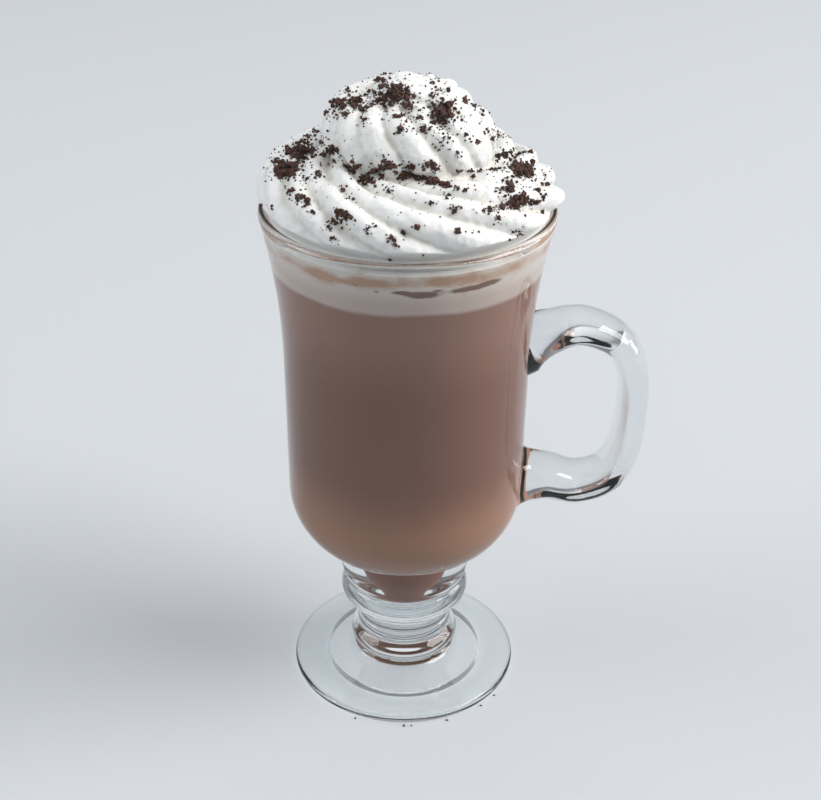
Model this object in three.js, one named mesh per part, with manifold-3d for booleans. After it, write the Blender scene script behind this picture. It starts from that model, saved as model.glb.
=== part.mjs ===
// An iced macchiato: a footed glass mug with a side handle, filled with milky coffee,
// a band of pale milk foam, and a piped swirl of whipped cream scattered with cookie crumbs.
// Millimetres, +Z up. The mug stands on z = 0, and the origin is under the middle of its outline.

import * as THREE from 'three';
import { mergeVertices } from 'three/addons/utils/BufferGeometryUtils.js';
import Module from 'manifold-3d';

const wasm = await Module();
wasm.setup();

// The glass mug, measured from its own upright axis
const RIM_RADIUS = 38;
const RIM_HEIGHT = 144.4;
const LIP_ROUND = 1.35;
const WALL = 2.7;
const BOWL_RADIUS = 32.4;
const WAIST_RADIUS = 32.75;
const FLARE_START = 100;
const BOWL_ROUND = 20;
const BOWL_ROUND_HEIGHT = 62;

// The floor of the bowl dips into the stem in a blunt funnel: [radius, height] from the axis outwards
const DIP = [[0, 25.4], [5.9, 31.2], [8.7, 37], [10.4, 43.3]];

// The stem, three turned swellings between the bowl and the foot
const COLLAR_RADIUS = 18.1;
const COLLAR_TOP = 42.6;
const COLLAR_GROOVE_RADIUS = 16.9;
const COLLAR_GROOVE_HEIGHT = 31;
const KNOB_RADIUS = 18.15;
const KNOB_HEIGHT = 27;
const NECK_RADIUS = 13.2;
const NECK_HEIGHT = 14;
const BEAD_RADIUS = 15.5;
const BEAD_HEIGHT = 10.4;
const BEAD_ROOT_RADIUS = 14.1;

// The foot, a disc with a shallow hollow under its middle
const FOOT_RADIUS = 32.3;
const FOOT_EDGE = 3;
const FOOT_TOP = 6.1;
const HOLLOW_RADIUS = 22.3;
const HOLLOW_EDGE = 2.8;
const HOLLOW_HEIGHT = 5.2;

// The handle, a flattened bar bent into a D beside the bowl
const HANDLE_ROOT = 31.5;
const HANDLE_REACH = 65.6;
const HANDLE_TOP = 110.6;
const HANDLE_BOTTOM = 61.9;
const HANDLE_WIDTH = 15;
const HANDLE_THICKNESS = 8.3;

// Where the handle is welded on, the glass spreads: by how much, and over which share of the bar
const WELD_SPREAD = 2.8;
const WELD_LENGTH = 0.04;

// What fills the mug
const CONTACT_GAP = 0.3;
const DRINK_LEVEL = 128.8;
const FOAM_LEVEL = 142.2;

// The whipped cream, one fluted rope wound up clockwise in shrinking turns
const FLUTES = 8;
const FLUTE_DEPTH = 1.5;
const CREAM_TURNS = 3.4;
const TWISTS_PER_TURN = 1.7;
const STEPS_PER_TURN = 30;
const POINTS_PER_FLUTE = 2;

// The largest cookie crumbs, in drifts sprinkled from above: place from the mug's axis, spread, count
const CRUMB_SEED = 11;
// How far a crumb stands clear of the heap, as a share of its size
const CRUMB_LIFT = 0.2;
const CRUMB_SIZE = 1.5;
const CRUMB_DRIFTS = [
  { x: -3.3, y: -7, spread: 2.2, count: 6 },
  { x: 7.4, y: -10.3, spread: 1.9, count: 5 },
  { x: -15.5, y: -3, spread: 2.4, count: 5 },
  { x: 17, y: -3, spread: 2, count: 2 },
  { x: 2, y: -17, spread: 2.5, count: 2 },
  { x: -27.5, y: -8.5, spread: 2.8, count: 6 },
  { x: -19, y: -11.8, spread: 1.2, count: 2 },
  { x: -25.2, y: -22.4, spread: 1.6, count: 3 },
  { x: -15.4, y: -31, spread: 1.2, count: 3 },
  { x: -9.6, y: -24, spread: 2, count: 3 },
  { x: 0.5, y: -23.4, spread: 2.6, count: 5 },
  { x: 9, y: -27.6, spread: 1.6, count: 2 },
  { x: 24.5, y: -8.5, spread: 2.2, count: 4 },
  { x: 25, y: -20.5, spread: 2.4, count: 5 },
  { x: 32.2, y: -15, spread: 1.4, count: 2 },
  { x: 11, y: -31.5, spread: 1.4, count: 2 },
  { x: -3.6, y: -35, spread: 1, count: 1 },
  { x: 10, y: 14, spread: 7, count: 5 },
  { x: -16, y: 20, spread: 7, count: 5 },
];

const ROUND_SEGMENTS = 48;

// Slivers finer than this, left by joining and cutting, are smoothed away
const SLIVER = 0.02;

// The mug's axis stands left of the origin, by half of what the handle adds to the width
const AXIS_X = -(HANDLE_REACH - RIM_RADIUS) / 2;

function toSolid(geometry) {
  const bare = geometry.index ? geometry.toNonIndexed() : geometry.clone();
  bare.deleteAttribute('normal');
  bare.deleteAttribute('uv');
  const merged = mergeVertices(bare, 1e-4);
  const mesh = new wasm.Mesh({
    numProp: 3,
    vertProperties: new Float32Array(merged.attributes.position.array),
    triVerts: new Uint32Array(merged.index.array),
  });
  return new wasm.Manifold(mesh);
}

// The outer skin of a solid, without loose scraps or the hollows that fusing has sealed
function largestPiece(solid) {
  const pieces = solid.decompose();
  return pieces.reduce((largest, piece) => (piece.volume() > largest.volume() ? piece : largest));
}

function toGeometry(solid) {
  const mesh = largestPiece(solid.simplify(SLIVER)).getMesh();
  const geometry = new THREE.BufferGeometry();
  geometry.setAttribute('position', new THREE.BufferAttribute(new Float32Array(mesh.vertProperties), 3));
  geometry.setIndex(new THREE.BufferAttribute(new Uint32Array(mesh.triVerts), 1));
  geometry.computeVertexNormals();
  return geometry;
}

// A closed solid of revolution about +Z, from [radius, height] pairs that start and end on the axis
function turned(profile) {
  const points = profile.map(([radius, height]) => new THREE.Vector2(radius, height));
  const geometry = new THREE.LatheGeometry(points, ROUND_SEGMENTS);
  geometry.rotateX(Math.PI / 2);
  return geometry;
}

// A closed solid skinned over rings of equal count, with a flat fan on each end
function skinned(rings) {
  const count = rings[0].length;
  const positions = [];
  const faces = [];
  for (const ring of rings) {
    for (const point of ring) positions.push(point.x, point.y, point.z);
  }
  for (let k = 0; k < rings.length - 1; k += 1) {
    for (let j = 0; j < count; j += 1) {
      const here = k * count + j;
      const beside = k * count + (j + 1) % count;
      const next = (j + 1) % count;
      const forward = rings[k][j].distanceTo(rings[k + 1][next]);
      const backward = rings[k][next].distanceTo(rings[k + 1][j]);
      if (forward < backward) {
        faces.push(here, beside, beside + count);
        faces.push(here, beside + count, here + count);
      } else {
        faces.push(here, beside, here + count);
        faces.push(beside, beside + count, here + count);
      }
    }
  }
  for (const end of [0, rings.length - 1]) {
    const centre = new THREE.Vector3();
    for (const point of rings[end]) centre.addScaledVector(point, 1 / count);
    const hub = positions.length / 3;
    positions.push(centre.x, centre.y, centre.z);
    for (let j = 0; j < count; j += 1) {
      const here = end * count + j;
      const beside = end * count + (j + 1) % count;
      if (end === 0) faces.push(hub, beside, here);
      else faces.push(hub, here, beside);
    }
  }
  const geometry = new THREE.BufferGeometry();
  geometry.setAttribute('position', new THREE.Float32BufferAttribute(positions, 3));
  geometry.setIndex(faces);
  return geometry;
}

// Points along an arc in the profile's plane, angles in degrees from outwards, turning upwards
function arc(centreRadius, centreHeight, size, from, to, steps) {
  const points = [];
  for (let k = 0; k <= steps; k += 1) {
    const angle = THREE.MathUtils.degToRad(from + (to - from) * k / steps);
    points.push([centreRadius + size * Math.cos(angle), centreHeight + size * Math.sin(angle)]);
  }
  return points;
}

const lipHeight = RIM_HEIGHT - LIP_ROUND;
const lipCentre = RIM_RADIUS - LIP_ROUND;

// The bowl's outer radius at a height above its rounded bottom
function bowlRadius(height) {
  if (height < FLARE_START) {
    const along = (height - BOWL_ROUND_HEIGHT) / (FLARE_START - BOWL_ROUND_HEIGHT);
    return BOWL_RADIUS + (WAIST_RADIUS - BOWL_RADIUS) * along;
  }
  const along = (height - FLARE_START) / (lipHeight - FLARE_START);
  return WAIST_RADIUS + (RIM_RADIUS - WAIST_RADIUS) * along * along;
}

// Heights up the wall, closer together where it flares
function wallHeights(from, to, steps) {
  const heights = [];
  for (let k = 0; k <= steps; k += 1) {
    const along = k / steps;
    heights.push(from + (to - from) * (1 - (1 - along) * (1 - along) * (1 - 0.35 * along)));
  }
  return heights;
}

const bowlCentre = BOWL_RADIUS - BOWL_ROUND;

// The inside of the bowl moved inwards by a clearance, from the axis up to a level
function insideProfile(clearance, level) {
  const round = BOWL_ROUND - WALL - clearance;
  const dip = DIP.map(([radius, height]) => [Math.max(0, radius - clearance), height + clearance]);
  const bend = arc(bowlCentre, BOWL_ROUND_HEIGHT, round, -88, 0, 6);
  const wall = wallHeights(BOWL_ROUND_HEIGHT, level, 6).slice(1)
    .map((height) => [bowlRadius(height) - WALL - clearance, height]);
  return [...dip, ...bend, ...wall];
}

function mugBody() {
  const underside = [
    [0, HOLLOW_HEIGHT],
    [HOLLOW_RADIUS - 8, HOLLOW_HEIGHT - 0.6],
    [HOLLOW_RADIUS - 0.3, HOLLOW_EDGE],
    [HOLLOW_RADIUS, 0],
  ];
  const foot = [
    ...arc(FOOT_RADIUS - FOOT_EDGE / 2, FOOT_EDGE / 2, FOOT_EDGE / 2, -90, 90, 3),
    [BEAD_RADIUS + 3, FOOT_TOP - 0.8],
    [BEAD_ROOT_RADIUS + 0.8, FOOT_TOP + 0.7],
  ];
  const stem = [
    [BEAD_ROOT_RADIUS, BEAD_HEIGHT - 2.3],
    [BEAD_RADIUS, BEAD_HEIGHT],
    [BEAD_RADIUS - 0.5, BEAD_HEIGHT + 1.6],
    [NECK_RADIUS, NECK_HEIGHT],
    [NECK_RADIUS, KNOB_HEIGHT - 6.2],
    [KNOB_RADIUS - 1, KNOB_HEIGHT - 2.8],
    [KNOB_RADIUS, KNOB_HEIGHT],
    [COLLAR_GROOVE_RADIUS, COLLAR_GROOVE_HEIGHT],
    [COLLAR_RADIUS, COLLAR_GROOVE_HEIGHT + 3.2],
    [COLLAR_RADIUS, COLLAR_TOP - 4.5],
    [COLLAR_RADIUS - 0.5, COLLAR_TOP],
  ];
  const bowl = arc(bowlCentre, BOWL_ROUND_HEIGHT, BOWL_ROUND, -70, 0, 6);
  const wall = wallHeights(BOWL_ROUND_HEIGHT, lipHeight, 7).slice(1)
    .map((height) => [bowlRadius(height), height]);
  const lip = arc(lipCentre, lipHeight, LIP_ROUND, 30, 180, 4);
  const inside = insideProfile(0, lipHeight - 1.5).reverse();
  return turned([...underside, ...foot, ...stem, ...bowl, ...wall, ...lip, ...inside]);
}

function handleBar() {
  const knuckle = HANDLE_REACH - HANDLE_THICKNESS / 2 - 0.03;
  const centreline = new THREE.CatmullRomCurve3([
    new THREE.Vector3(HANDLE_ROOT, 0, HANDLE_TOP - 5.3),
    new THREE.Vector3(37.9, 0, HANDLE_TOP - 2),
    new THREE.Vector3(46.4, 0, HANDLE_TOP),
    new THREE.Vector3(56.2, 0, HANDLE_TOP - 4.2),
    new THREE.Vector3(60.5, 0, HANDLE_TOP - 12.5),
    new THREE.Vector3(knuckle, 0, 87.8),
    new THREE.Vector3(60.2, 0, HANDLE_BOTTOM + 12),
    new THREE.Vector3(55.8, 0, HANDLE_BOTTOM + 3.2),
    new THREE.Vector3(47.6, 0, HANDLE_BOTTOM),
    new THREE.Vector3(39.5, 0, HANDLE_BOTTOM + 1.6),
    new THREE.Vector3(HANDLE_ROOT, 0, HANDLE_BOTTOM + 1.8),
  ], false, 'centripetal');
  const stations = 30;
  const sides = 16;
  const rings = [];
  for (let k = 0; k <= stations; k += 1) {
    const along = k / stations;
    const centre = centreline.getPointAt(along);
    const heading = centreline.getTangentAt(along);
    const across = new THREE.Vector3(heading.z, 0, -heading.x);
    if (k === 0 || k === stations) across.set(0, 0, Math.sign(across.z));
    const topRoot = Math.pow(Math.max(0, 1 - along / 0.16), 2);
    const bottomRoot = Math.pow(Math.max(0, 1 - (1 - along) / 0.12), 2);
    const fromKnuckle = along - 0.45;
    const swell = (fromKnuckle < 0 ? 10 : 19) * fromKnuckle * fromKnuckle;
    const weld = Math.pow(Math.max(0, 1 - Math.min(along, 1 - along) / WELD_LENGTH), 2);
    const thickness = HANDLE_THICKNESS + 0.85 * swell + 6.2 * topRoot + 3 * bottomRoot + WELD_SPREAD * weld;
    const width = HANDLE_WIDTH + WELD_SPREAD * weld;
    const ring = [];
    for (let j = 0; j < sides; j += 1) {
      const angle = 2 * Math.PI * j / sides;
      const point = centre.clone().addScaledVector(across, thickness / 2 * Math.cos(angle));
      point.y += width / 2 * Math.sin(angle);
      ring.push(point);
    }
    rings.push(ring);
  }
  return skinned(rings);
}

function glassMug() {
  return toGeometry(toSolid(mugBody()).add(toSolid(handleBar())));
}

function drink() {
  return turned([...insideProfile(CONTACT_GAP, DRINK_LEVEL), [0, DRINK_LEVEL]]);
}

function milkFoam() {
  const bottom = DRINK_LEVEL + CONTACT_GAP;
  const side = [bottom, (bottom + FOAM_LEVEL) / 2, FOAM_LEVEL]
    .map((height) => [bowlRadius(height) - WALL - CONTACT_GAP, height]);
  return turned([[0, bottom], ...side, [0, FOAM_LEVEL]]);
}

// The rope's centre, its thickness and the twist of its flutes at a number of turns from its start
const ROPE_TURNS = [0, 0.5, 1, 1.5, 2, 2.5, 3, 3.4];
const ROPE_RADII = [29.3, 28.6, 25.6, 23.2, 14.2, 13.8, 9, 6];
const ROPE_HEIGHTS = [148, 148.4, 151.6, 151.6, 160.2, 164, 167.4, 170.4];
const ROPE_SIZES = [9.4, 9.2, 9, 9, 9, 8.8, 8, 3];

// The crown that the rope ends in, ring by ring from inside the last turn to its tip
const CROWN_HEIGHTS = [165, 169, 172.5, 174.8, 176.4, 177.5, 178];
const CROWN_SIZES = [8, 9.6, 9.4, 8.2, 5.8, 3, 1];
const CROWN_TWIST = 0.11;

function blend(turns, values) {
  let k = 0;
  while (k < ROPE_TURNS.length - 2 && turns > ROPE_TURNS[k + 1]) k += 1;
  const along = (turns - ROPE_TURNS[k]) / (ROPE_TURNS[k + 1] - ROPE_TURNS[k]);
  const eased = along * along * (3 - 2 * along) * 0.35 + along * 0.65;
  return values[k] + (values[k + 1] - values[k]) * eased;
}

function ropeCentre(turns) {
  const angle = -2 * Math.PI * turns;
  const radius = blend(turns, ROPE_RADII);
  return new THREE.Vector3(radius * Math.cos(angle), radius * Math.sin(angle), blend(turns, ROPE_HEIGHTS));
}

// A point of the rope's skin; lift is the angle up from outwards, round the rope
function ropeSkin(turns, lift, depth) {
  const angle = -2 * Math.PI * turns;
  const twist = 2 * Math.PI * TWISTS_PER_TURN * turns;
  const size = blend(turns, ROPE_SIZES);
  const flute = Math.cos(FLUTES * (lift - twist));
  const reach = size - FLUTE_DEPTH / 2 * (1 - flute) - depth;
  const outwards = new THREE.Vector3(Math.cos(angle), Math.sin(angle), 0);
  const point = ropeCentre(turns).addScaledVector(outwards, reach * Math.cos(lift));
  point.z += reach * Math.sin(lift);
  return point;
}

function creamRope() {
  const count = FLUTES * POINTS_PER_FLUTE;
  const stretch = STEPS_PER_TURN / 2;
  const last = Math.round(CREAM_TURNS * STEPS_PER_TURN);
  let rope = null;
  for (let first = 0; first < last; first += stretch) {
    const rings = [];
    for (let k = first; k <= Math.min(first + stretch, last); k += 1) {
      const turns = k / STEPS_PER_TURN;
      const twist = 2 * Math.PI * TWISTS_PER_TURN * turns;
      const ring = [];
      for (let j = 0; j < count; j += 1) ring.push(ropeSkin(turns, twist + 2 * Math.PI * j / count, 0));
      rings.push(ring);
    }
    const piece = toSolid(skinned(rings));
    rope = rope ? rope.add(piece) : piece;
  }
  return rope;
}

// The space that the cream may fill: inside the bowl, and out over the rounded lip
function roomAboveFoam(bottom) {
  const clear = LIP_ROUND + CONTACT_GAP;
  const roomRadius = 50;
  const roomHeight = 200;
  return turned([
    [0, bottom],
    [bowlRadius(bottom) - WALL - CONTACT_GAP, bottom],
    ...arc(lipCentre, lipHeight, clear, 180, 90, 3),
    [roomRadius, lipHeight + clear],
    [roomRadius, roomHeight],
    [0, roomHeight],
  ]);
}

// A repeatable stream of numbers between 0 and 1
function seededNumbers(seed) {
  let state = seed;
  return () => {
    state = (Math.imul(state, 1664525) + 1013904223) >>> 0;
    return state / 4294967296;
  };
}

// One lumpy crumb: an icosahedron whose corners are pulled in and out
function crumbAt(place, size, random) {
  const loose = new THREE.IcosahedronGeometry(size, 0);
  loose.deleteAttribute('normal');
  loose.deleteAttribute('uv');
  const geometry = mergeVertices(loose);
  const corners = geometry.attributes.position;
  for (let k = 0; k < corners.count; k += 1) {
    const pull = 0.7 + 0.5 * random();
    corners.setXYZ(k, corners.getX(k) * pull, corners.getY(k) * pull, corners.getZ(k) * pull * 0.8);
  }
  geometry.rotateZ(2 * Math.PI * random());
  geometry.translate(place.x, place.y, place.z);
  return toSolid(geometry);
}

// Drops each crumb straight down onto the heap and fuses it where it lands
function withCrumbs(heap) {
  const random = seededNumbers(CRUMB_SEED);
  const target = new THREE.Mesh(toGeometry(heap));
  const downwards = new THREE.Vector3(0, 0, -1);
  const skyHeight = 300;
  let crumbed = heap;
  for (const drift of CRUMB_DRIFTS) {
    for (let k = 0; k < drift.count; k += 1) {
      const angle = 2 * Math.PI * random();
      const away = drift.spread * Math.sqrt(random());
      const size = CRUMB_SIZE * (0.7 + 0.5 * random());
      const x = drift.x + away * Math.cos(angle);
      const y = drift.y + away * Math.sin(angle);
      const start = new THREE.Vector3(x, y, skyHeight);
      const landing = new THREE.Raycaster(start, downwards).intersectObject(target)[0];
      if (landing) {
        const middle = landing.point.clone().setZ(landing.point.z + size * CRUMB_LIFT);
        crumbed = crumbed.add(crumbAt(middle, size, random));
      }
    }
  }
  return crumbed;
}

function creamCrown() {
  const count = FLUTES * POINTS_PER_FLUTE;
  const rings = CROWN_HEIGHTS.map((height, k) => {
    const ring = [];
    for (let j = 0; j < count; j += 1) {
      const turn = 2 * Math.PI * j / count;
      const flute = Math.cos(FLUTES * turn);
      const reach = CROWN_SIZES[k] * (1 - 0.07 * (1 - flute));
      const angle = turn - CROWN_TWIST * (height - CROWN_HEIGHTS[0]);
      ring.push(new THREE.Vector3(reach * Math.cos(angle) - 1, reach * Math.sin(angle), height));
    }
    return ring;
  });
  return toSolid(skinned(rings));
}

function whippedCream() {
  const bottom = FOAM_LEVEL + CONTACT_GAP;
  const core = turned([
    [0, bottom],
    [bowlRadius(bottom) - WALL - CONTACT_GAP, bottom],
    [bowlRadius(RIM_HEIGHT) - WALL - CONTACT_GAP, RIM_HEIGHT],
    [30, 150.5],
    [23.5, 155.5],
    [15, 162],
    [7, 170.5],
    [0, 175],
  ]);
  const heap = largestPiece(toSolid(core).add(creamRope()).add(creamCrown()));
  return toGeometry(withCrumbs(heap).intersect(toSolid(roomAboveFoam(bottom))));
}

function named(name, geometry, colour, roughness) {
  const material = new THREE.MeshStandardMaterial({ color: colour, roughness, metalness: 0 });
  const mesh = new THREE.Mesh(geometry, material);
  mesh.name = name;
  return mesh;
}

const icedMacchiato = new THREE.Group();
icedMacchiato.name = 'iced_macchiato';
icedMacchiato.position.x = AXIS_X;
icedMacchiato.add(named('glass_mug', glassMug(), '#dfe4e8', 0.05));
icedMacchiato.add(named('drink', drink(), '#85695c', 0.35));
icedMacchiato.add(named('milk_foam', milkFoam(), '#b9aba1', 0.55));
icedMacchiato.add(named('whipped_cream', whippedCream(), '#f3f0ea', 0.6));

export default icedMacchiato;
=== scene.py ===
# An iced macchiato in a footed glass mug with a side handle: milky coffee, a band of milk foam,
# a piped swirl of whipped cream and a scatter of dark cookie crumbs.
# Sizes are given in millimetres and put in place in metres, about the mug's own upright axis.
import math

import bpy
import numpy as np
from mathutils import Matrix, Vector
from mathutils.bvhtree import BVHTree


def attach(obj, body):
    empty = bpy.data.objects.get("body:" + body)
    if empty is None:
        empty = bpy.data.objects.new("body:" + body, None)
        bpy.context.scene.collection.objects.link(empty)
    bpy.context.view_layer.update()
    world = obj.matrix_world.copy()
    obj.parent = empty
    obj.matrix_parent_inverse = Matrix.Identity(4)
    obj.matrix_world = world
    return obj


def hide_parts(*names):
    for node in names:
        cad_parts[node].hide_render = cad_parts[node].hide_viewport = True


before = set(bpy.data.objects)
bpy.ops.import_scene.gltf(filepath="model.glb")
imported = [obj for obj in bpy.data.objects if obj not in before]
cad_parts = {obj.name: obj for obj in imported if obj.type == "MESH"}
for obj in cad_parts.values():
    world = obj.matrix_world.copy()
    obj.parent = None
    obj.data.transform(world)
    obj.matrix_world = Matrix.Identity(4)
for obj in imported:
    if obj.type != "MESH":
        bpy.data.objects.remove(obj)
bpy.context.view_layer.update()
bpy.ops.object.select_all(action="DESELECT")


# The camera stands in front of the mug and looks down on it, at the photograph's angle and
# distance. It is set across from the mug's axis, which stands a little left of the frame's
# middle because the handle adds to one side. Lengths are in millimetres, angles in radians.
MM = 0.001
AXIS_X = -13.8
CAMERA_LENS_PIXELS = 1470.7
CAMERA_AWAY = 347.1
CAMERA_HEIGHT = 286.0
CAMERA_PITCH = 0.5202
CAMERA_PAN = 0.0035
CAMERA_ROLL = 0.0114
PHOTO_WIDTH = 821
PHOTO_HEIGHT = 800

ahead = Vector((
    math.sin(CAMERA_PAN) * math.cos(CAMERA_PITCH),
    math.cos(CAMERA_PAN) * math.cos(CAMERA_PITCH),
    -math.sin(CAMERA_PITCH),
))
level_right = ahead.cross(Vector((0, 0, 1))).normalized()
level_up = level_right.cross(ahead)
camera_right = math.cos(CAMERA_ROLL) * level_right + math.sin(CAMERA_ROLL) * level_up
camera_up = -math.sin(CAMERA_ROLL) * level_right + math.cos(CAMERA_ROLL) * level_up
bpy.ops.object.camera_add()
camera = bpy.context.object
camera.name = "photo_camera"
camera.data.sensor_width = 36
camera.data.lens = CAMERA_LENS_PIXELS * camera.data.sensor_width / PHOTO_WIDTH
camera.data.clip_start = 0.01
turn = Matrix((camera_right, camera_up, -ahead)).transposed().to_4x4()
place = Vector((AXIS_X, -CAMERA_AWAY, CAMERA_HEIGHT)) * MM
camera.matrix_world = Matrix.Translation(place) @ turn
bpy.context.scene.camera = camera


# The mug is pressed clear glass: a bowl that flares to a rounded lip, a stem of swollen rings and
# a flat foot with a hollow under it. One half of its outline, drawn from the axis under the foot
# round to the axis inside the bowl, is spun about the axis, and the handle is welded on.
RIM_RADIUS = 38.0
RIM_HEIGHT = 144.4
LIP_ROUND = 1.35
WALL = 2.7
BOWL_RADIUS = 32.4
WAIST_RADIUS = 32.75
FLARE_START = 100.0
BOWL_ROUND = 20.0
BOWL_ROUND_HEIGHT = 62.0
BOWL_ROUND_CENTRE = BOWL_RADIUS - BOWL_ROUND
LIP_HEIGHT = RIM_HEIGHT - LIP_ROUND
LIP_CENTRE = RIM_RADIUS - LIP_ROUND
LIP_INSIDE = 1.2
FOOT_ROUND = 1.5
FOOT_ROUND_CENTRE = 30.8
# The floor of the bowl dips into the stem in a blunt funnel: its outline from the axis outwards
DIP = [
    (0, 25.4), (1.6, 26.1), (3.7, 28.6), (5.9, 31.2), (7.7, 33.9), (8.7, 37), (9.3, 40.4),
    (10.4, 43.3), (12.4, 44.7),
]
SPIN_STEPS = 160
WALL_STEPS = 24
CURVE_STEPS = 4


def bowl_radius(height):
    """The bowl's outer radius at a height above its rounded bottom."""
    if height < FLARE_START:
        along = (height - BOWL_ROUND_HEIGHT) / (FLARE_START - BOWL_ROUND_HEIGHT)
        return BOWL_RADIUS + (WAIST_RADIUS - BOWL_RADIUS) * along
    along = (height - FLARE_START) / (LIP_HEIGHT - FLARE_START)
    return WAIST_RADIUS + (RIM_RADIUS - WAIST_RADIUS) * along * along


def arc(centre_radius, centre_height, size, start, end, steps):
    """Points of an outline along a round, angles in degrees from outwards, turning upwards."""
    angles = [math.radians(start + (end - start) * k / steps) for k in range(steps + 1)]
    return [(centre_radius + size * math.cos(a), centre_height + size * math.sin(a)) for a in angles]


def eased_curve(points, steps):
    """A smooth curve through a few points of an outline."""
    path = [points[0]] + list(points) + [points[-1]]
    out = []
    for a, b, c, d in zip(path, path[1:], path[2:], path[3:]):
        for k in range(steps):
            t = k / steps
            out.append(tuple(
                q + 0.5 * t * (r - p + t * (2 * p - 5 * q + 4 * r - s + t * (3 * q - p - 3 * r + s)))
                for p, q, r, s in zip(a, b, c, d)
            ))
    return out + [tuple(points[-1])]


def inside_outline(reach, level):
    """The inside of the bowl moved outwards by a reach, from the axis up to a level."""
    floor = eased_curve(DIP, CURVE_STEPS)[:-1]
    dip = [(radius + min(radius, reach), height - reach) for radius, height in floor]
    bend = arc(BOWL_ROUND_CENTRE, BOWL_ROUND_HEIGHT, BOWL_ROUND - WALL + reach, -88, 0, 20)
    heights = np.linspace(BOWL_ROUND_HEIGHT, level, WALL_STEPS + 1)[1:]
    wall = [(bowl_radius(h) - WALL + reach, h) for h in heights]
    return dip + bend + wall


def spun_piece(name, outline, steps=SPIN_STEPS):
    """Draws a half outline point by point, spins it about the mug's axis and merges its seam."""
    dot, seam = 0.001, 0.000002
    bpy.ops.mesh.primitive_plane_add(size=dot)
    piece = bpy.context.object
    piece.name = name
    bpy.ops.object.mode_set(mode="EDIT")
    bpy.ops.mesh.select_mode(type="VERT")
    bpy.ops.mesh.select_all(action="SELECT")
    bpy.ops.mesh.merge(type="CENTER")
    radius, height = outline[0]
    bpy.ops.transform.translate(value=((AXIS_X + radius) * MM, 0, height * MM))
    for (r0, h0), (r1, h1) in zip(outline, outline[1:]):
        step = ((r1 - r0) * MM, 0, (h1 - h0) * MM)
        bpy.ops.mesh.extrude_vertices_move(TRANSFORM_OT_translate={"value": step})
    bpy.ops.mesh.select_all(action="SELECT")
    bpy.ops.mesh.spin(steps=steps, angle=2 * math.pi, center=(AXIS_X * MM, 0, 0), axis=(0, 0, 1))
    bpy.ops.mesh.select_all(action="SELECT")
    bpy.ops.mesh.remove_doubles(threshold=seam)
    bpy.ops.mesh.normals_make_consistent(inside=False)
    bpy.ops.object.mode_set(mode="OBJECT")
    return piece


underside = [(0, 5.2), (8, 5.1), (14.3, 4.6), (22.0, 2.8), (22.3, 0.2), (29.6, 0.12)]
foot = arc(FOOT_ROUND_CENTRE, FOOT_ROUND, FOOT_ROUND, -90, 90, 14)
foot += eased_curve([
    (28.0, 3.1), (22.3, 4.4), (18.6, 5.3), (16.2, 6.0), (14.9, 6.8), (14.2, 7.8),
], CURVE_STEPS)
stem = eased_curve([
    (14.2, 7.8), (14.4, 8.6), (15.2, 9.5), (15.5, 10.5), (15.1, 11.8), (14.1, 12.9),
    (13.3, 14.0), (13.6, 15.4), (13.5, 16.8), (13.0, 17.8), (12.9, 20.4), (13.6, 22.1), (15.4, 23.0),
    (17.2, 24.2), (18.1, 26.2), (18.1, 28.0), (17.6, 29.6), (17.0, 30.5), (16.8, 31.0), (17.1, 31.6),
    (17.7, 32.6), (18.1, 34.4), (18.1, 38.4), (17.8, 40.8), (17.5, 42.3),
], CURVE_STEPS)[1:]
bowl = arc(BOWL_ROUND_CENTRE, BOWL_ROUND_HEIGHT, BOWL_ROUND, -74, 0, 20)
heights = np.linspace(BOWL_ROUND_HEIGHT, LIP_HEIGHT, WALL_STEPS + 1)[1:]
wall = [(bowl_radius(h), h) for h in heights]
lip = arc(LIP_CENTRE, LIP_HEIGHT, LIP_ROUND, 20, 180, 12)
inside = inside_outline(0, LIP_HEIGHT - LIP_INSIDE)[::-1]
mug = spun_piece("clear_glass_mug", underside + foot + stem + bowl + wall + lip + inside)

# The handle is a flattened bar of the same glass, bent into a D and welded to the bowl while hot,
# so it thickens where it meets the wall. Its path runs from the upper root to the lower one.
HANDLE_PATH = [
    (30.9, 105.3), (37.9, 108.6), (46.4, 110.6), (56.2, 106.4), (60.5, 98.1), (61.45, 87.8),
    (60.2, 73.9), (55.8, 65.1), (47.6, 61.9), (39.5, 63.5), (30.9, 63.7),
]
HANDLE_WIDTH = 15.0
HANDLE_THICKNESS = 8.3
HANDLE_SQUARENESS = 2.3
HANDLE_SECTIONS = 96
HANDLE_CORNERS = 48
# Where the bar is thinnest, as a share of its length, and how fast it swells to either side
THINNEST = 0.45
SWELL_ABOVE = 8.5
SWELL_BELOW = 16.15
# How much each root adds to the bar's thickness, and the share of the length over which it fades
TOP_ROOT = 6.2
TOP_ROOT_LENGTH = 0.16
BOTTOM_ROOT = 3.0
BOTTOM_ROOT_LENGTH = 0.12
# How much the hot glass spread where the bar was pressed onto the bowl
WELD_SPREAD = 2.8
WELD_LENGTH = 0.04


def even_points(path, count):
    """Points at even steps along a smooth curve, with the curve's heading at each."""
    dense = np.array(eased_curve(path, 40))
    walked = np.concatenate([[0], np.cumsum(np.hypot(*np.diff(dense, axis=0).T))])
    shares = np.linspace(0, walked[-1], count)
    x = np.interp(shares, walked, dense[:, 0])
    z = np.interp(shares, walked, dense[:, 1])
    heading = np.unwrap(np.arctan2(np.gradient(z), np.gradient(x)))
    return x, z, heading


def faded(from_root, length):
    """1 at a root, easing to nothing at a length from it."""
    return max(0, 1 - from_root / length) ** 2


def weld_flare(along):
    return WELD_SPREAD * faded(min(along, 1 - along), WELD_LENGTH)


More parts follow.
